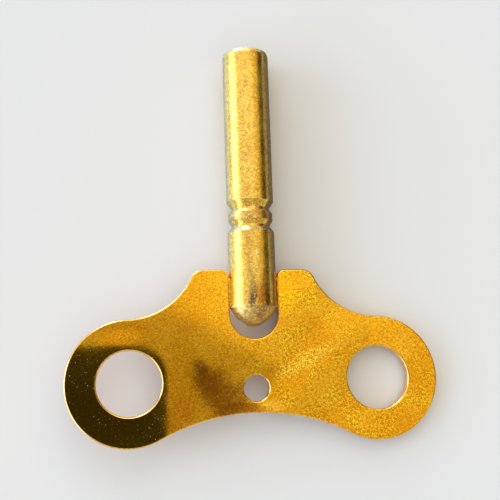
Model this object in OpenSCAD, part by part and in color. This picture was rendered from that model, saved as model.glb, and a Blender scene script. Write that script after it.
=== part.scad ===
// Winding key for a spring-driven clock: a flat finger bow with two lobes, and a turned stem
// whose square socket slips over the winding arbor. The stem lies in a notch of the bow and is
// brazed there along both sides.
// The key lies flat. The socket mouth is at the origin, the stem runs along +Y to the bow,
// the bow lies in the XY plane, and Z is square to the bow.

/* [Bow] */
// Width across the two finger lobes
bow_w = 54; // [48:1:62]
// Thickness of the brass sheet
bow_t = 1.6; // [1.2:0.1:2.4]
// Diameter of each round lobe
lobe_d = 18; // [15:0.5:21]
// Diameter of each finger hole
finger_hole_d = 9.1; // [6:0.1:12]
// Distance from the line of the finger holes to the straight edge that the stem crosses
bow_rise = 16; // [14:0.5:19]
// Width of the neck where its hollow sides would come closest
neck_w = 16; // [13:0.5:19]
// Radius of the hollow between the neck and each lobe
neck_arc_r = 10.5; // [8:0.5:13]
// Radius of the rounded corners of the neck
shoulder_r = 2; // [1:0.1:3]
// Radius of the long hollow between the lobes
base_arc_r = 30; // [24:1:40]
// Diameter of the hanging hole
hang_hole_d = 3.7; // [2:0.1:5]
// Width of sheet left between the hanging hole and the long hollow
hang_web = 1.65; // [1:0.05:4]
// Radius of the tumbled edges of the sheet
edge_r = 0.3; // [0.1:0.05:0.5]

/* [Stem] */
// Diameter of the stem
stem_d = 6.9; // [6.4:0.1:8.5]
// Length of the plain barrel, from the socket mouth to the first groove
barrel_l = 23; // [18:0.5:40]
// Length of the sloping side of each turned groove
groove_flank = 1; // [0.4:0.1:1.6]
// Depth of each turned groove
groove_depth = 0.7; // [0.2:0.05:1]
// Width of the bead between the bottoms of the grooves
bead_w = 2.6; // [1.8:0.1:4.5]
// Width of the flat crown of the bead
bead_crown = 1.1; // [0.4:0.1:1.6]
// Height of the bead above the bottoms of the grooves
bead_h = 0.5; // [0.15:0.05:0.8]
// Length of the plain shank between the grooves and the bow
shank_l = 5.4; // [2:0.1:12]
// Length of stem that lies in the notch, without its domed end
seat_l = 5.6; // [3:0.1:8]
// Height of the domed end
dome_h = 2.65; // [1:0.05:3]
// Step down from the stem to the domed end
dome_step = 0.1; // [0.05:0.05:0.8]
// Angle by which the domed end turns inwards where it starts
dome_slope = 25; // [5:1:30]
// Diameter of the small flat at the tip of the domed end
dome_flat_d = 1.3; // [0.3:0.1:2]
// Length along the stem of the bevel round the outside of the socket mouth
mouth_bevel_l = 0.5; // [0.2:0.05:1]
// Depth of that bevel at the mouth
mouth_bevel_h = 0.2; // [0.05:0.05:0.4]

/* [Socket] */
// Width of the square socket across its flats
socket_flats = 4.25; // [3:0.25:4.75]
// Depth of the square socket
socket_depth = 12; // [6:0.5:16]
// Thickness of the stem wall behind the corners of the socket
socket_wall = 0.55; // [0.5:0.05:1]
// How much wider than the flats the pilot hole was drilled
pilot_extra = 0.2; // [0.05:0.05:0.4]
// How much deeper than the square the pilot hole was drilled
pilot_past = 2; // [0.5:0.25:4]
// Angle of the drill point at the end of the pilot hole
drill_point = 118; // [90:1:140]
// Size of the lead-in bevel on the flats
lead_in = 0.3; // [0.15:0.05:0.5]

/* [Notch] */
// Gap on each side of the stem that the braze fills
braze_gap = 0.1; // [0.05:0.05:0.3]
// Gap between the domed end and the round end of the notch
notch_gap = 1.75; // [0.5:0.05:4]
// Radius of the corners where the notch opens
notch_corner_r = 1.2; // [0.8:0.1:2]
// How far the braze lies below the faces of the bow
braze_sink = 0.05; // [0.05:0.05:0.4]

/* [Hidden] */
$fn = 180;

// Length by which a cutting shape runs past the surface that it cuts
past = 1;
// Small overlap between shapes that would otherwise only touch
lap = 0.01;
// Depth at which straight joins are tucked inside round shapes
tuck = 0.05;

stem_r = stem_d / 2;
groove_r = stem_r - groove_depth;
bead_r = groove_r + bead_h;
bead_flank = (bead_w - bead_crown) / 2;
pilot_r = (socket_flats + pilot_extra) / 2;
dome_base_r = stem_r - dome_step;
dome_in = dome_base_r - dome_flat_d / 2;
dome_r = norm([dome_in, dome_h]) / (2 * sin(atan2(dome_in, dome_h) - dome_slope));

// Stations along the stem, from the socket mouth
bead_y = barrel_l + groove_flank;
shank_y = bead_y + bead_w + groove_flank;
bow_edge_y = shank_y + shank_l;
crease_y = bow_edge_y + seat_l;
stem_l = crease_y + dome_h;
bow_y = bow_edge_y + bow_rise;

// Places on the bow, from the middle of the line of the finger holes
lobe_r = lobe_d / 2;
flank_h = bow_t / 2 - edge_r + lap;
edge_y = -bow_rise;
lobe = [bow_w / 2 - lobe_r, 0];
neck_x = neck_w / 2 + neck_arc_r;
neck_reach = neck_arc_r + lobe_r;
neck = [neck_x, -sqrt(neck_reach * neck_reach - (neck_x - lobe.x) * (neck_x - lobe.x))];
base_reach = base_arc_r + lobe_r;
base = [0, sqrt(base_reach * base_reach - lobe.x * lobe.x)];
hang = [0, base.y - base_arc_r - hang_web - hang_hole_d / 2];
shoulder_y = edge_y + shoulder_r;
shoulder_reach = neck_arc_r + shoulder_r;
shoulder_drop = shoulder_y - neck.y;
shoulder = [neck.x - sqrt(shoulder_reach * shoulder_reach - shoulder_drop * shoulder_drop), shoulder_y];
notch_r = stem_r + braze_gap;
notch_y = stem_l + notch_gap - notch_r - bow_y;
corner = [notch_r + notch_corner_r - lap, edge_y + notch_corner_r];

// The point at distance d from a, on the way to b
function toward(a, b, d) = a + d * (b - a) / norm(b - a);

// Turns a shape that was built along Z to lie along the stem
module along_stem() {
    rotate([-90, 0, 0]) children();
}

// Section of sheet with rounded edges, from a centre line out to r
module sheet_section(r) {
    intersection() {
        translate([0, -bow_t / 2]) square([r, bow_t]);
        union() {
            translate([0, -bow_t / 2]) square([r - edge_r, bow_t]);
            translate([0, -flank_h]) square([r, 2 * flank_h]);
            for (side = [-1, 1]) {
                translate([r - edge_r, side * flank_h]) circle(edge_r);
            }
        }
    }
}

// Section of what is cut from the sheet, from a centre line out to r, to leave rounded edges
module cut_section(r) {
    difference() {
        translate([0, -bow_t / 2 - past]) square([r + edge_r, bow_t + 2 * past]);
        translate([r, -flank_h]) square([2 * edge_r, 2 * flank_h]);
        for (side = [-1, 1]) {
            translate([r + edge_r, side * flank_h]) circle(edge_r);
        }
    }
}

// Round-edged disc, for an outward arc of the outline
module disc(centre, r) {
    translate(centre) rotate_extrude() sheet_section(r);
}

// Round-edged hole, or an inward arc of the outline
module round_cut(centre, r) {
    translate(centre) rotate_extrude() cut_section(r);
}

// Notch for the stem, open towards the socket and round at its far end
module notch_cut() {
    round_cut([0, notch_y], notch_r + lap);
    translate([0, notch_y, 0]) rotate([90, 0, 0]) linear_extrude(notch_y - edge_y + past) {
        cut_section(notch_r);
        mirror([1, 0]) cut_section(notch_r);
    }
}

// Rounds the straight edge on both sides of the notch
module straight_edge_cut() {
    edge_l = 2 * (shoulder.x + shoulder_r);
    translate([-edge_l / 2, edge_y - past + lap, 0]) rotate([90, 0, 90]) linear_extrude(edge_l) {
        cut_section(past);
    }
}

// Half outline through the centres of the outward arcs, with its corners tucked inside them
module half_core() {
    polygon([
        [0, corner.y],
        corner,
        [corner.x, edge_y],
        [shoulder.x, edge_y],
        shoulder,
        toward(shoulder, neck, shoulder_r - tuck),
        toward(lobe, neck, lobe_r - tuck),
        lobe,
        toward(lobe, base, lobe_r - tuck),
        [0, toward(lobe, base, lobe_r - tuck).y]
    ]);
}

// The half of the bow on the +X side, before its inward arcs are cut
module half_blank() {
    translate([0, 0, -bow_t / 2]) linear_extrude(bow_t) half_core();
    disc(lobe, lobe_r);
    disc(shoulder, shoulder_r);
    disc(corner, notch_corner_r);
}

// Everything that is cut from the half of the bow on the +X side
module half_cuts() {
    round_cut(neck, neck_arc_r + lap);
    round_cut(lobe, finger_hole_d / 2);
}

// Stamped sheet with the lobes, the finger holes, the hanging hole and the notch
module bow_plate() {
    color([0.82, 0.58, 0.2]) translate([0, bow_y, 0]) difference() {
        union() {
            half_blank();
            mirror([1, 0, 0]) half_blank();
        }
        half_cuts();
        mirror([1, 0, 0]) half_cuts();
        round_cut(base, base_arc_r + lap);
        round_cut(hang, hang_hole_d / 2);
        straight_edge_cut();
        notch_cut();
    }
}

// Half section of the stem: radius across, station along the stem upwards
module stem_section() {
    polygon([
        [0, 0],
        [stem_r - mouth_bevel_h, 0],
        [stem_r, mouth_bevel_l],
        [stem_r, barrel_l],
        [groove_r, bead_y],
        [bead_r, bead_y + bead_flank],
        [bead_r, bead_y + bead_w - bead_flank],
        [groove_r, bead_y + bead_w],
        [stem_r, shank_y],
        [stem_r, crease_y],
        [0, crease_y]
    ]);
    intersection() {
        translate([dome_base_r, crease_y] - dome_r * [cos(dome_slope), sin(dome_slope)]) circle(dome_r);
        translate([0, crease_y - lap]) square([stem_r, dome_h + lap]);
    }
}

// Square socket with relieved corners, over a drilled pilot hole with a pointed end
module socket_cut() {
    pilot_depth = socket_depth + pilot_past;
    translate([0, 0, -past]) linear_extrude(socket_depth + past) intersection() {
        square(socket_flats, center = true);
        circle(stem_r - socket_wall);
    }
    translate([0, 0, -past]) cylinder(h = pilot_depth + past, r = pilot_r);
    translate([0, 0, pilot_depth]) cylinder(h = pilot_r / tan(drill_point / 2), r1 = pilot_r, r2 = 0);
    cylinder(h = lead_in, r1 = socket_flats / 2 + lead_in, r2 = socket_flats / 2);
}

// Turned stem with the socket, two grooves, a bead and a domed end
module stem() {
    color([0.86, 0.68, 0.32]) along_stem() difference() {
        rotate_extrude() stem_section();
        socket_cut();
    }
}

// Braze between the stem and the two sides of the notch
module braze_seams() {
    start_y = bow_y + corner.y;
    end_y = min(crease_y, bow_y + notch_y);
    seam_h = bow_t - 2 * braze_sink;
    color([0.5, 0.32, 0.12]) for (side = [0, 1]) {
        mirror([side, 0, 0]) translate([0, end_y, 0]) rotate([90, 0, 0]) linear_extrude(end_y - start_y) {
            difference() {
                intersection() {
                    cut_section(notch_r);
                    translate([0, -seam_h / 2]) square([notch_r + edge_r, seam_h]);
                }
                circle(stem_r);
            }
        }
    }
}

bow_plate();
stem();
braze_seams();
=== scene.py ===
import math
from typing import NamedTuple

import bpy
from mathutils import Matrix, Vector, noise as lumpy


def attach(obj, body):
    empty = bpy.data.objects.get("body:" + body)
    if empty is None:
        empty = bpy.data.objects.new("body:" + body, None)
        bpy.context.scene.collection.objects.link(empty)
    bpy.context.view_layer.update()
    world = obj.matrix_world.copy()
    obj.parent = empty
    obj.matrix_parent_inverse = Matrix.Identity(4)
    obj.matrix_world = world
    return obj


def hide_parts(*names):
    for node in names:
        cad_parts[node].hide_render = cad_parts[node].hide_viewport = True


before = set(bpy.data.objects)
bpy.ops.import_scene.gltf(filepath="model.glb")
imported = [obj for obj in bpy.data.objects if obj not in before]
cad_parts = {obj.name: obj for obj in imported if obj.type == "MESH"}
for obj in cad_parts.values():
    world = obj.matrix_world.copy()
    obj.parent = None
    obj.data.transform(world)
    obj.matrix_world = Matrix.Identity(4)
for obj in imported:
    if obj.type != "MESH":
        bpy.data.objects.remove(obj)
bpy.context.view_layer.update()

MM = 0.001
STEM_R = 3.45


def mm(*values):
    """A point or vector in metres from values in millimetres."""
    return Vector(values) * MM


# Node helpers

def add(tree, kind, inputs=None, **settings):
    """Adds a node, sets its properties, and fills its inputs with values or links."""
    node = tree.nodes.new(kind)
    for name, value in settings.items():
        setattr(node, name, value)
    for name, value in (inputs or {}).items():
        if isinstance(value, bpy.types.NodeSocket):
            tree.links.new(value, node.inputs[name])
        else:
            node.inputs[name].default_value = value
    return node


def math_node(tree, operation, *values):
    """Output of a Math node on values or sockets."""
    return add(tree, "ShaderNodeMath", dict(enumerate(values)), operation=operation).outputs[0]


def vector_node(tree, operation, inputs, output="Vector"):
    """Output of a Vector Math node on values or sockets."""
    return add(tree, "ShaderNodeVectorMath", inputs, operation=operation).outputs[output]


def axes(tree, vector):
    """The X, Y and Z outputs of a vector."""
    return add(tree, "ShaderNodeSeparateXYZ", {0: vector}).outputs


def ramp(tree, value, low, high, to_low=0.0, to_high=1.0):
    """A smooth step of value from low to high, mapped to to_low and to_high."""
    inputs = {"Value": value, "From Min": low, "From Max": high, "To Min": to_low, "To Max": to_high}
    node = add(tree, "ShaderNodeMapRange", inputs, interpolation_type="SMOOTHSTEP")
    return node.outputs["Result"]


def between(tree, value, rise, fall, soft_rise, soft_fall):
    """1 between rise and fall, with a soft step of the given width at each."""
    up = ramp(tree, value, rise - soft_rise / 2, rise + soft_rise / 2)
    down = ramp(tree, value, fall - soft_fall / 2, fall + soft_fall / 2, 1.0, 0.0)
    return math_node(tree, "MULTIPLY", up, down)


def mix_colour(tree, factor, a, b, blend="MIX"):
    """Output of a colour Mix node."""
    node = add(tree, "ShaderNodeMix", data_type="RGBA", blend_type=blend)
    for index, value in ((0, factor), (6, a), (7, b)):
        if isinstance(value, bpy.types.NodeSocket):
            tree.links.new(value, node.inputs[index])
        else:
            node.inputs[index].default_value = value
    return node.outputs[2]


def noise(tree, vector, scale, detail=2.0, rough=0.5, distortion=0.0):
    """Factor of a Noise texture; scale counts features per millimetre."""
    inputs = {
        "Vector": vector,
        "Scale": scale,
        "Detail": detail,
        "Roughness": rough,
        "Distortion": distortion,
    }
    return add(tree, "ShaderNodeTexNoise", inputs).outputs["Fac"]


def new_material(name):
    """An empty node material and its tree."""
    material = bpy.data.materials.new(name)
    material.use_nodes = True
    tree = material.node_tree
    tree.nodes.clear()
    return material, tree


def millimetres(tree):
    """Object coordinates in millimetres."""
    coords = add(tree, "ShaderNodeTexCoord").outputs["Object"]
    return vector_node(tree, "SCALE", {0: coords, "Scale": 1.0 / MM})


def put_output(tree, shader):
    add(tree, "ShaderNodeOutputMaterial", {"Surface": shader})


def put_metal(tree, inputs):
    """Ends a material's tree in bare metal with these inputs."""
    shader = add(tree, "ShaderNodeBsdfPrincipled", {"Metallic": 1.0, **inputs})
    put_output(tree, shader.outputs["BSDF"])


# Stains and grain

class StainAndPaintedLight(NamedTuple):
    """An oval stain, painted highlight or painted dark reflection. Its place and half sizes are in
    millimetres, and its turn is in degrees.
    """
    strength: float
    centre: tuple
    half: tuple
    turn: float
    colour: tuple
    ragged: float
    ragged_scale: float = 0.6
    soft: float = 0.5


def oval(tree, at, centre, half, turn, ragged, ragged_scale=0.6, soft=0.5):
    """1 inside an oval patch and 0 outside, with a ragged, soft edge."""
    inputs = {
        "Vector": at,
        "Location": centre,
        "Rotation": (0, 0, math.radians(turn)),
        "Scale": (*half, half[1]),
    }
    inside = add(tree, "ShaderNodeMapping", inputs, vector_type="TEXTURE").outputs["Vector"]
    reach = vector_node(tree, "LENGTH", {0: inside}, "Value")
    wobble = noise(tree, at, ragged_scale, 5.0, 0.62)
    reach = math_node(tree, "ADD", reach, math_node(tree, "MULTIPLY_ADD", wobble, 2.0 * ragged, -ragged))
    return ramp(tree, reach, 1.0 - soft, 1.0, 1.0, 0.0)


def tinted(tree, colour, strength, mask, tint):
    """Colour with the tint mixed in at this strength where mask is 1."""
    return mix_colour(tree, math_node(tree, "MULTIPLY", mask, strength), colour, tint)


def stained(tree, at, colour, stains):
    """Colour with a row of oval stains, painted highlights and painted dark reflections laid over it."""
    for stain in stains:
        edge = (stain.ragged, stain.ragged_scale, stain.soft)
        patch = oval(tree, at, stain.centre, stain.half, stain.turn, *edge)
        colour = tinted(tree, colour, stain.strength, patch, stain.colour)
    return colour


def speckled(tree, colour, coarse, fine, contrast):
    """Colour with a grain of bright and dark specks made from two noises."""
    off = math_node(tree, "SUBTRACT", math_node(tree, "ADD", coarse, fine), 1.0)
    level = math_node(tree, "POWER", 2.0, math_node(tree, "MULTIPLY", off, contrast))
    return mix_colour(tree, 1.0, colour, level, "MULTIPLY")


# Bow

FACE_Z = 0.8
BOW_BRASS = ((0.79, 0.335, 0.008, 1), (0.90, 0.425, 0.015, 1))
BOW_BRIGHT = (1.0, 0.53, 0.04, 1)
BOW_GLINT_SPECK = (1.0, 0.82, 0.40, 1)
BOW_RIM_WEAR_AND_HIGHLIGHT = (0.99, 0.80, 0.40, 1)
BAND = ((-7.2, 46.4, FACE_Z), (7.0, 1.5), 28, 0.4, 0.8, 0.6)
BOW_STAINS_AND_PAINTED_LIGHT = (
    # A painted highlight on the shoulder on -X, and two darker orange patches by the lobe on +X that paint a
    # dimmer reflection.
    StainAndPaintedLight(0.70, (-4.6, 36.6, FACE_Z), (4.6, 2.8), 75, (1.0, 0.47, 0.006, 1), 0.4, 0.5, 0.8),
    StainAndPaintedLight(0.75, (11.0, 53.2, FACE_Z), (3.6, 2.6), 60, (0.74, 0.27, 0.005, 1), 0.5),
    StainAndPaintedLight(0.60, (18.4, 42.4, FACE_Z), (5.5, 2.4), -8, (0.74, 0.28, 0.005, 1), 0.6),
    # The brown bloom, partly tarnish and partly a painted dark reflection: its body, its spread to the
    # hanging hole, its tail, its red heart and its dark top.
    StainAndPaintedLight(0.76, (6.1, 50.1, FACE_Z), (5.8, 3.9), -54, (0.25, 0.072, 0.003, 1), 0.6, 0.7, 0.8),
    StainAndPaintedLight(0.50, (3.2, 51.2, FACE_Z), (4.2, 3.0), 20, (0.36, 0.13, 0.006, 1), 0.6, 0.8, 0.8),
    StainAndPaintedLight(0.75, (2.8, 53.1, FACE_Z), (4.4, 1.5), 0, (0.30, 0.085, 0.004, 1), 0.5, 0.8),
    StainAndPaintedLight(0.60, (7.1, 49.3, FACE_Z), (3.2, 2.1), 105, (0.26, 0.068, 0.003, 1), 0.5, 0.9, 0.7),
    StainAndPaintedLight(0.60, (8.2, 47.2, FACE_Z), (2.0, 1.4), 110, (0.14, 0.065, 0.006, 1), 0.7, 0.9, 0.8),
)
# A painted glint on the sheet on -X, in the bright band's colour.
BOW_GLINT = StainAndPaintedLight(0.60, (-2.6, 52.6, FACE_Z), (2.4, 1.0), 0, BOW_BRIGHT, 0.4, 0.8, 0.6)


def bow_brass():
    """Tumbled sheet brass: bright and speckled, with painted highlights, glints and dim reflections, and a
    brown bloom on the +X side of the hanging hole that is partly tarnish and partly a painted dark
    reflection.
    """
    material, tree = new_material("bow_brass_tumbled")
    at = millimetres(tree)
    across = axes(tree, at)["X"]
    cloud = noise(tree, at, 0.16, 4.0, 0.55, 0.4)
    coarse = noise(tree, at, 2.6, 2.0, 0.6)
    fine = noise(tree, at, 5.2, 2.0, 0.6)
    colour = mix_colour(tree, ramp(tree, cloud, 0.35, 0.65), *BOW_BRASS)
    colour = stained(tree, at, colour, BOW_STAINS_AND_PAINTED_LIGHT)
    band = oval(tree, at, *BAND)
    colour = tinted(tree, colour, 0.60, band, BOW_BRIGHT)
    colour = stained(tree, at, colour, [BOW_GLINT])
    # The grain is rougher in worn patches, and smoother on the +X side.
    worn = ramp(tree, noise(tree, at, 0.22, 3.0, 0.6, 0.8), 0.44, 0.60)
    worn = math_node(tree, "MAXIMUM", worn, band)
    worn = math_node(tree, "MULTIPLY", worn, ramp(tree, across, -5.0, 6.0, 1.0, 0.3))
    colour = speckled(tree, colour, coarse, fine, ramp(tree, worn, 0.0, 1.0, 1.5, 3.2))
    # Bright specks: tiny pits and scratches, with their glints painted in.
    specks = ramp(tree, noise(tree, at, 5.0, 1.0, 0.5), 0.70, 0.76)
    colour = tinted(tree, colour, 0.6, specks, BOW_GLINT_SPECK)
    # The rounded edges are paler, partly worn brass and partly a painted highlight: evenly on the +X side,
    # and less evenly on the -X side.
    normal = add(tree, "ShaderNodeNewGeometry").outputs["Normal"]
    level = math_node(tree, "ABSOLUTE", axes(tree, normal)["Z"])
    worn_and_highlit = ramp(tree, noise(tree, at, 1.1, 3.0, 0.6), 0.42, 0.58, 0.6, 1.0)
    worn_and_highlit = math_node(tree, "MAXIMUM", ramp(tree, across, 0.0, 8.0), worn_and_highlit)
    edge_wear_and_highlight = math_node(tree, "MULTIPLY", ramp(tree, level, 0.80, 0.99, 1.0, 0.0), worn_and_highlit)
    colour = tinted(tree, colour, 0.60, edge_wear_and_highlight, BOW_RIM_WEAR_AND_HIGHLIGHT)
    height = math_node(tree, "MULTIPLY_ADD", noise(tree, at, 0.7, 2.0, 0.5), 1.5, coarse)
    bump = add(tree, "ShaderNodeBump", {"Strength": 0.10, "Distance": 0.008 * MM, "Height": height})
    gloss = ramp(tree, cloud, 0.3, 0.7, 0.03, 0.07)
    put_metal(tree, {
        "Base Color": colour,
        "Roughness": math_node(tree, "MULTIPLY_ADD", specks, 0.35, gloss),
        "Normal": bump.outputs["Normal"],
    })
    return material


# Stem

DOME_Y = (37.9, 38.7)
CROWN_Y = (24.7, 26.0)
TURNED_Y = (22.9, 27.7)
STEM_BRASS = ((0.75, 0.41, 0.020, 1), (0.82, 0.48, 0.040, 1))
STEM_GLINT_SPECK = (1.0, 0.88, 0.42, 1)
DOME_BRASS = (0.86, 0.62, 0.17, 1)
DOME_SHADED = (0.40, 0.24, 0.05, 1)
DOME_RIM_HIGHLIGHT = (0.97, 0.76, 0.28, 1)
CROWN_DARK_REFLECTION = (0.55, 0.28, 0.035, 1)
DULL_BROWN = (0.36, 0.20, 0.05, 1)
FLANK_HIGHLIGHT = (0.96, 0.76, 0.36, 1)
HEAT_BROWN = (0.46, 0.15, 0.010, 1)
HEAT = ((-0.8, 37.1, 3.3), (3.2, 1.8), 80, 0.9, 0.9, 0.8)
STEM_STAINS = (
    # A brown streak down the dome, a fine scratch, a bright nick, and an olive streak with a dark spot.
    StainAndPaintedLight(0.80, (-0.4, 39.6, 2.6), (2.2, 0.9), 85, (0.42, 0.17, 0.025, 1), 0.8, 1.1, 0.8),
    StainAndPaintedLight(0.65, (-1.1, 35.0, 3.3), (2.8, 0.22), 87, (0.40, 0.17, 0.02, 1), 0.5, 0.8),
    StainAndPaintedLight(0.60, (-0.3, 30.7, 3.4), (0.5, 0.35), 0, (1.0, 0.88, 0.50, 1), 0.4, 1.5, 0.8),
    StainAndPaintedLight(0.55, (0.5, 36.4, 3.4), (2.4, 0.8), 84, (0.30, 0.17, 0.025, 1), 0.8, 1.0, 0.8),
    StainAndPaintedLight(0.80, (0.6, 37.6, 3.4), (1.3, 0.7), 80, (0.10, 0.055, 0.012, 1), 0.9, 1.1),
)


def stem_brass():
    """Turned and lacquered rod brass: paler than the sheet, faintly ringed, and heat-stained by the dome."""
    material, tree = new_material("stem_brass_turned")
    at = millimetres(tree)
    place = axes(tree, at)
    normal = axes(tree, add(tree, "ShaderNodeNewGeometry").outputs["Normal"])
    coarse = noise(tree, at, 2.2, 2.0, 0.6)
    fine = noise(tree, at, 4.6, 2.0, 0.6)
    cloud = noise(tree, at, 0.35, 4.0, 0.6)
    # Where the stem is domed, where the bead is crowned, and where the grooves and the bead are turned.
    dome = ramp(tree, place["Y"], *DOME_Y)
    crown = between(tree, place["Y"], *CROWN_Y, 0.3, 0.3)
    turned = between(tree, place["Y"], *TURNED_Y, 0.3, 0.3)
    dull = math_node(tree, "MAXIMUM", dome, math_node(tree, "MULTIPLY", crown, 0.8))
    blotch = ramp(tree, noise(tree, at, 0.9, 5.0, 0.65), 0.42, 0.60)
    # Painted highlight: the flanks that face the mouth are paler on top, most on the +X side.
    flank_highlight = math_node(tree, "MULTIPLY",
                      ramp(tree, normal["Y"], -0.35, -0.2, 1.0, 0.0), ramp(tree, normal["Z"], 0.1, 0.5))
    flank_highlight = math_node(tree, "MULTIPLY", flank_highlight, ramp(tree, normal["X"], -0.3, 0.1, 0.3, 1.0))
    colour = mix_colour(tree, ramp(tree, cloud, 0.35, 0.65), *STEM_BRASS)
    colour = tinted(tree, colour, 0.55, dome, DOME_BRASS)
    # The bead's crown is tinted darker brown: a painted dark reflection.
    colour = tinted(tree, colour, 0.45, crown, CROWN_DARK_REFLECTION)
    colour = tinted(tree, colour, 0.60, math_node(tree, "MULTIPLY", dull, blotch), DULL_BROWN)
    colour = tinted(tree, colour, 0.65, flank_highlight, FLANK_HIGHLIGHT)
    heat = oval(tree, at, *HEAT)
    colour = tinted(tree, colour, 0.90, heat, HEAT_BROWN)
    middle = math_node(tree, "MULTIPLY", dome, ramp(tree, normal["Z"], 0.4, 0.75))
    shaded = math_node(tree, "MULTIPLY", middle, ramp(tree, place["X"], -1.2, 0.8, 1.0, 0.0))
    colour = tinted(tree, colour, 0.60, shaded, DOME_SHADED)
    colour = stained(tree, at, colour, STEM_STAINS)
    # Painted highlight on the dome's sides, which are paler than its top.
    colour = tinted(tree, colour, 0.60, math_node(tree, "SUBTRACT", dome, middle), DOME_RIM_HIGHLIGHT)
    colour = speckled(tree, colour, coarse, fine, 2.0)
    # Bright specks: tiny pits and scratches, with their glints painted in.
    specks = ramp(tree, noise(tree, at, 4.4, 1.0, 0.5), 0.60, 0.70)
    colour = tinted(tree, colour, 0.6, specks, STEM_GLINT_SPECK)
    squeezed = vector_node(tree, "MULTIPLY", {0: at, 1: (0.12, 6.0, 0.12)})
    rings = noise(tree, squeezed, 1.0, 3.0, 0.6)
    lumps = math_node(tree, "MULTIPLY", noise(tree, at, 0.9, 3.0, 0.6), dull)
    height = math_node(tree, "MULTIPLY_ADD", rings, 0.6, coarse)
    height = math_node(tree, "MULTIPLY_ADD", lumps, 9.0, height)
    bump = add(tree, "ShaderNodeBump", {"Strength": 0.2, "Distance": 0.015 * MM, "Height": height})
    gloss = ramp(tree, cloud, 0.3, 0.7, 0.26, 0.34)
    for part, change in ((turned, -0.08), (crown, 0.12), (dome, 0.14)):
        gloss = math_node(tree, "MULTIPLY_ADD", part, change, gloss)
    put_metal(tree, {
        "Base Color": colour,
        "Roughness": gloss,
        "Coat Weight": math_node(tree, "MULTIPLY_ADD", heat, -0.6, 0.8),
        "Coat IOR": 1.6,
        "Coat Roughness": 0.28,
        "Normal": bump.outputs["Normal"],
        "Coat Normal": bump.outputs["Normal"],
    })
    return material


def paint(node, material):
    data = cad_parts[node].data
    data.materials.clear()
    data.materials.append(material)


paint("bow_plate", bow_brass())
paint("stem", stem_brass())


# Braze

BRAZE_BRASS = ((0.66, 0.29, 0.02, 1), (0.88, 0.46, 0.04, 1))
BRAZE_BROWN = (0.24, 0.095, 0.018, 1)
BRAZE_BROWN_X = (3.50, 3.62)
SEAM_Y = (34.2, 38.6)
SEAM_ROWS = 88
SEAM_ACROSS = 14
SEAM_PLATE_X = 3.9
SEAM_PLATE_Z = 0.79
SEAM_CLIMB = 0.92
SEAM_SAG = 0.10
SEAM_BED = 0.03
SEAM_END = 0.6
SEAM_SEED = 3.0


def braze_metal():
    """Brass braze: golden where it meets the sheet, dark brown along the stem."""
    material, tree = new_material("braze_brown")
    at = millimetres(tree)
    grain = noise(tree, at, 2.5, 4.0, 0.65)
    across = math_node(tree, "MULTIPLY_ADD", grain, 0.2, math_node(tree, "ABSOLUTE", axes(tree, at)["X"]))
    colour = mix_colour(tree, ramp(tree, grain, 0.35, 0.65), *BRAZE_BRASS)
    colour = tinted(tree, colour, 0.85, ramp(tree, across, *BRAZE_BROWN_X, 1.0, 0.0), BRAZE_BROWN)
    bump = add(tree, "ShaderNodeBump", {"Strength": 0.3, "Distance": 0.02 * MM, "Height": grain})
    put_metal(tree, {
        "Base Color": colour,
        "Roughness": ramp(tree, grain, 0.3, 0.7, 0.22, 0.4),
        "Normal": bump.outputs["Normal"],
    })
    return material


def seam_curve(y, face, seed):
    """Points across the hollow top of a seam at y, from the stem to the sheet, as pairs of x and z."""
    wave = lumpy.noise(Vector((seed, 1.1 * y, face)))
    wave += 0.5 * lumpy.noise(Vector((seed, 3.1 * y, face + 5.0)))
    ends = min(y - SEAM_Y[0], SEAM_Y[1] - y) / SEAM_END
    drop = (1.0 - min(ends, 1.0)) ** 2
    climb = SEAM_CLIMB + 0.10 * wave - 0.25 * drop
    sag = SEAM_SAG + 0.03 * wave + 0.12 * drop
    start = math.sqrt(STEM_R ** 2 - climb ** 2) - SEAM_BED
    points = []
    for step in range(SEAM_ACROSS + 1):
        t = step / SEAM_ACROSS
        z = (1 - t) * climb + t * SEAM_PLATE_Z - 4 * sag * t * (1 - t)
        points.append(((1 - t) * start + t * SEAM_PLATE_X, face * z))
    return points


def braze_fillets():
    """Two uneven seams of braze that fill the notch beside the stem, hollow on top and below."""
    verts = []
    faces = []
    ring = 2 * (SEAM_ACROSS + 1)
    for side in (1, -1):
        first = len(verts)
        for row in range(SEAM_ROWS + 1):
            y = SEAM_Y[0] + (SEAM_Y[1] - SEAM_Y[0]) * row / SEAM_ROWS
            over = seam_curve(y, 1, SEAM_SEED * side)
            under = seam_curve(y, -1, SEAM_SEED * side)
            verts.extend(mm(side * x, y, z) for x, z in over + under[::-1])
        for row in range(SEAM_ROWS):
            here = first + row * ring
            for k in range(ring):
                quad = (here + k, here + (k + 1) % ring, here + ring + (k + 1) % ring, here + ring + k)
                faces.append(quad if side > 0 else quad[::-1])
        last = first + SEAM_ROWS * ring
        caps = [tuple(range(first, first + ring))[::-1], tuple(range(last, last + ring))]
        faces.extend(caps if side > 0 else [cap[::-1] for cap in caps])
    mesh = bpy.data.meshes.new("braze_fillets")
    mesh.from_pydata(verts, [], faces)
    mesh.materials.append(braze_metal())
    mesh.shade_smooth()
    mesh.set_sharp_from_angle(angle=math.radians(50))
    piece = bpy.data.objects.new("braze_fillets", mesh)
    bpy.context.scene.collection.objects.link(piece)
    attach(piece, "root")
    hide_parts("braze_seams")


braze_fillets()


# Floor

FLOOR_PLACE = Matrix.Rotation(math.radians(5.65), 4, "Y") @ Matrix.Translation(mm(0, 0, -STEM_R))
FLOOR_REACH = 6.0
FLOOR_COLOUR = (0.80, 0.79, 0.77, 1)


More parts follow.
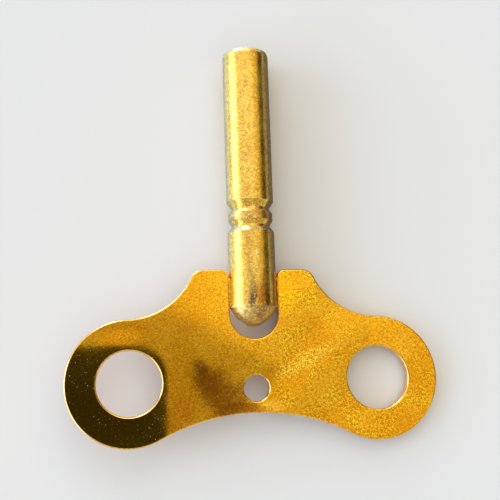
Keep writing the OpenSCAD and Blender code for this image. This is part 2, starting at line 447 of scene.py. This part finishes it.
def flat_piece(name, corners, material):
    """A stage piece with one face, and its corners in metres."""
    mesh = bpy.data.meshes.new(name)
    mesh.from_pydata(corners, [], [(0, 1, 2, 3)])
    mesh.materials.append(material)
    piece = bpy.data.objects.new(name, mesh)
    bpy.context.scene.collection.objects.link(piece)
    return piece


def rectangle(x, y, z):
    """Corners of a level rectangle between two values of x and two of y."""
    return [(x[0], y[0], z), (x[1], y[0], z), (x[1], y[1], z), (x[0], y[1], z)]


def floor():
    """A plain sheet that the stem and one lobe rest on, so it slopes a little under the part."""
    material, tree = new_material("floor_pale")
    put_output(tree, add(tree, "ShaderNodeBsdfDiffuse", {"Color": FLOOR_COLOUR}).outputs["BSDF"])
    span = (-FLOOR_REACH, FLOOR_REACH)
    flat_piece("floor", rectangle(span, span, 0.0), material).matrix_world = FLOOR_PLACE


# Light

# A band is given by where it rises and falls, and by the widths of its two soft steps. A band's turn is
# in degrees round the stem: 0 is level on +X, and 90 is overhead. Its Y is that of the light's direction.
BACKDROP = (0.814, 0.822, 0.822, 1)
STAGE_LEVEL = 0.86
SKY_BY_Z = (0.0, 0.9, 0.5, 0.92)
SKY_BY_Y = (-0.20, 0.0, 1.3, 1.0)
WINDOW = (2.8, 3.8, 5.8)
WINDOW_TURN = (-20, 25, 4, 24)
WINDOW_Y = (-0.42, 0.75, 0.2, 0.2)
WINDOW_BY_Y = (0.02, 0.22, 1.0, 0.8)
FRONT = 0.4
FRONT_TURN = (-20, 70, 4, 40)
FRONT_Y = (-0.96, -0.5, 0.1, 0.2)
SHADE = 0.97
SHADE_TURN = (142, 177, 5, 4)
SHADE_Y = (-0.65, 0.25, 0.2, 0.2)
WARMTH = (0.17, 0.30, 0.70)
WARM_TURN = (114, 142, 10, 4)
SOFTBOXES = (((0.40, -0.91, 0.08), 10, 20, 4.5), ((-0.10, -0.75, 0.65), 12, 26, 1.0))


def lobe(tree, toward, centre, inner, outer, strength):
    """Strength within inner degrees of the direction centre, which fades to nothing at outer degrees."""
    facing = vector_node(tree, "DOT_PRODUCT", {0: toward, 1: Vector(centre).normalized()}, "Value")
    return ramp(tree, facing, math.cos(math.radians(outer)), math.cos(math.radians(inner)), 0.0, strength)


def studio():
    """Soft light from above, a bright window low on +X, a dim side on -X, and a front and softboxes on -Y.

    The window and the dim side run along the stem, and the light between the dim side and overhead is warm.
    """
    world = bpy.data.worlds.new("studio")
    bpy.context.scene.world = world
    world.use_nodes = True
    tree = world.node_tree
    tree.nodes.clear()
    toward = add(tree, "ShaderNodeTexCoord").outputs["Generated"]
    parts = axes(tree, toward)
    turn = math_node(tree, "DEGREES", math_node(tree, "ARCTAN2", parts["Z"], parts["X"]))

    def strip(turn_band, y_band):
        """A strip of the world that lies in both bands."""
        return math_node(tree, "MULTIPLY",
                         between(tree, turn, *turn_band), between(tree, parts["Y"], *y_band))

    sky = math_node(tree, "MULTIPLY", ramp(tree, parts["Z"], *SKY_BY_Z), ramp(tree, parts["Y"], *SKY_BY_Y))
    window = math_node(tree, "MULTIPLY", strip(WINDOW_TURN, WINDOW_Y), ramp(tree, parts["Y"], *WINDOW_BY_Y))
    front = strip(FRONT_TURN, FRONT_Y)
    shade = strip(SHADE_TURN, SHADE_Y)
    light = math_node(tree, "MULTIPLY", sky, math_node(tree, "MULTIPLY_ADD", shade, -SHADE, 1.0))
    light = math_node(tree, "MULTIPLY_ADD", front, FRONT, light)
    for softbox in SOFTBOXES:
        light = math_node(tree, "ADD", light, lobe(tree, toward, *softbox))
    window = vector_node(tree, "SCALE", {0: WINDOW, "Scale": window})
    light = vector_node(tree, "ADD", {0: light, 1: window})
    warm = vector_node(tree, "SCALE", {0: WARMTH, "Scale": between(tree, turn, *WARM_TURN)})
    warm = vector_node(tree, "SUBTRACT", {0: (1.0, 1.0, 1.0), 1: warm})
    light = vector_node(tree, "MULTIPLY", {0: light, 1: warm})
    path = add(tree, "ShaderNodeLightPath").outputs
    level = math_node(tree, "MULTIPLY_ADD", path["Is Diffuse Ray"], STAGE_LEVEL - 1.0, 1.0)
    lit = add(tree, "ShaderNodeBackground", {"Color": light, "Strength": level})
    plain = add(tree, "ShaderNodeBackground", {"Color": BACKDROP, "Strength": 1.0})
    inputs = {0: path["Is Camera Ray"], 1: lit.outputs[0], 2: plain.outputs[0]}
    shown = add(tree, "ShaderNodeMixShader", inputs)
    add(tree, "ShaderNodeOutputWorld", {"Surface": shown.outputs[0]})


# Cards that show in reflections only

CARD_DARK = (0.038, 0.047, 0.10, 1)
CARD_LIFT = 0.1
FLAG_CORNER = (2.0, 34.8)
FLAG_R = 8.5
FLAG_X = (-58.0, 72.0)
FLAG_Y = (4.8, 154.8)
FLAG_Z = 131.0
FLAG_EDGE = 0.4
DIM = 0.46
DIM_SLOPE = 0.554
DIM_ABOVE = (19.0, 30.0)
DIM_SLANT = (-78.0, -70.0)
GLEAM = ((15.0, 32.5, FLAG_Z), (11.0, 3.5), 0, 0.2, 0.1, 0.8)
GLEAM_CLEARS = 0.7
BARS = 0.16
BEAM_SLANT = -80.0
BEAM_SIDES = (6.0, 21.0, 5.0, 8.0)
EDGE_CARD_X = (-60.0, -2.0)
EDGE_CARD_Y = (-14.0, 33.0)
EDGE_CARD_FADE = 34.0
EDGE_CARD_COVER = 0.8
COOL_CARD_X = (2.0, 24.0)
COOL_CARD_Y = (-14.0, 38.0)
COOL_CARD_RISE = (4.0, 12.0)
COOL_CARD_FADE = 10.0
COOL_CARD_COVER = 0.85
COOL_CARD_NEAR = (0.44, 0.60, 0.78, 1)
COOL_CARD_FAR = (0.95, 1.45, 2.40, 1)


def card(name, material, cover, glow, corners):
    """A flat card that shows only in reflections, and glows where cover is 1 and is clear where it is 0."""
    tree = material.node_tree
    lit = add(tree, "ShaderNodeEmission", {"Color": glow, "Strength": 1.0})
    clear = add(tree, "ShaderNodeBsdfTransparent")
    shown = add(tree, "ShaderNodeMixShader", {0: cover, 1: clear.outputs[0], 2: lit.outputs[0]})
    put_output(tree, shown.outputs[0])
    piece = flat_piece(name, corners, material)
    for ray in ("camera", "diffuse", "transmission", "volume_scatter", "shadow"):
        setattr(piece, "visible_" + ray, False)


def flag():
    """A card above the lobe on +X that is dark past a rounded corner, for mirror-bright metal to show."""
    material, tree = new_material("flag_dark")
    at = millimetres(tree)
    parts = axes(tree, at)
    out_x = math_node(tree, "SUBTRACT", FLAG_CORNER[0] + FLAG_R, parts["X"])
    out_y = math_node(tree, "SUBTRACT", FLAG_CORNER[1] + FLAG_R, parts["Y"])
    past = [math_node(tree, "MAXIMUM", out, 0.0) for out in (out_x, out_y)]
    squares = [math_node(tree, "POWER", out, 2.0) for out in past]
    reach = math_node(tree, "SQRT", math_node(tree, "ADD", *squares))
    inside = math_node(tree, "MINIMUM", math_node(tree, "MAXIMUM", out_x, out_y), 0.0)
    away = math_node(tree, "SUBTRACT", math_node(tree, "ADD", reach, inside), FLAG_R)
    dark = ramp(tree, away, -FLAG_EDGE, FLAG_EDGE, 1.0, 0.0)
    # Round the dark corner the card is half clear, apart from a gleam. Past that, two faint bars flank
    # a beam.
    above = math_node(tree, "MULTIPLY_ADD", parts["X"], DIM_SLOPE, parts["Y"])
    slant = math_node(tree, "SUBTRACT", parts["X"], parts["Y"])
    dim = math_node(tree, "MULTIPLY", ramp(tree, above, *DIM_ABOVE), ramp(tree, slant, *DIM_SLANT))
    gleam = math_node(tree, "MULTIPLY_ADD", oval(tree, at, *GLEAM), -GLEAM_CLEARS, 1.0)
    dim = math_node(tree, "MULTIPLY", math_node(tree, "MULTIPLY", dim, gleam), DIM)
    off_beam = math_node(tree, "ABSOLUTE", math_node(tree, "SUBTRACT", slant, BEAM_SLANT))
    bars = math_node(tree, "MULTIPLY", between(tree, off_beam, *BEAM_SIDES), BARS)
    cover = math_node(tree, "MAXIMUM", dark, math_node(tree, "MAXIMUM", dim, bars))
    corners = rectangle(FLAG_X, FLAG_Y, FLAG_Z)
    card("flag", material, cover, CARD_DARK, [mm(*corner) for corner in corners])


def edge_card():
    """A dim card on the floor beside the stem on -X, which gives the stem a dark edge."""
    material, tree = new_material("edge_card_dim")
    across = axes(tree, millimetres(tree))["X"]
    cover = ramp(tree, across, EDGE_CARD_X[0], EDGE_CARD_X[0] + EDGE_CARD_FADE, 0.0, EDGE_CARD_COVER)
    corners = rectangle(EDGE_CARD_X, EDGE_CARD_Y, CARD_LIFT)
    card("edge_card", material, cover, CARD_DARK, [FLOOR_PLACE @ mm(*corner) for corner in corners])


def cool_card():
    """A cool card on the floor beside the stem on +X, brighter away from it, which pales the other edge."""
    material, tree = new_material("cool_card")
    place = axes(tree, millimetres(tree))
    glow = mix_colour(tree, ramp(tree, place["X"], *COOL_CARD_RISE), COOL_CARD_NEAR, COOL_CARD_FAR)
    side = ramp(tree, place["X"], COOL_CARD_X[1] - COOL_CARD_FADE, COOL_CARD_X[1], COOL_CARD_COVER, 0.0)
    end = ramp(tree, place["Y"], COOL_CARD_Y[1] - COOL_CARD_FADE, COOL_CARD_Y[1], 1.0, 0.0)
    cover = math_node(tree, "MULTIPLY", side, end)
    corners = rectangle(COOL_CARD_X, COOL_CARD_Y, CARD_LIFT)
    card("cool_card", material, cover, glow, [FLOOR_PLACE @ mm(*corner) for corner in corners])


# Camera

CAMERA_AT = (23.197, 52.349, 128.12)
CAMERA_AIM = (0.191, 30.031, 0.0)
CAMERA_UP = (-0.0026, -0.9851, 0.1721)
SENSOR = 36.0
LENS = 64.8


def camera():
    """The photograph's viewpoint: close above the bow, with the socket end pointing up the frame."""
    at = mm(*CAMERA_AT)
    back = (at - mm(*CAMERA_AIM)).normalized()
    right = Vector(CAMERA_UP).cross(back).normalized()
    up = back.cross(right)
    data = bpy.data.cameras.new("camera")
    data.sensor_width = SENSOR
    data.lens = LENS
    data.clip_start = 0.005
    data.clip_end = 50.0
    eye = bpy.data.objects.new("camera", data)
    bpy.context.scene.collection.objects.link(eye)
    eye.matrix_world = Matrix.Translation(at) @ Matrix((right, up, back)).transposed().to_4x4()
    bpy.context.scene.camera = eye


floor()
studio()
flag()
edge_card()
cool_card()
camera()
bpy.context.scene.view_settings.view_transform = "Standard"
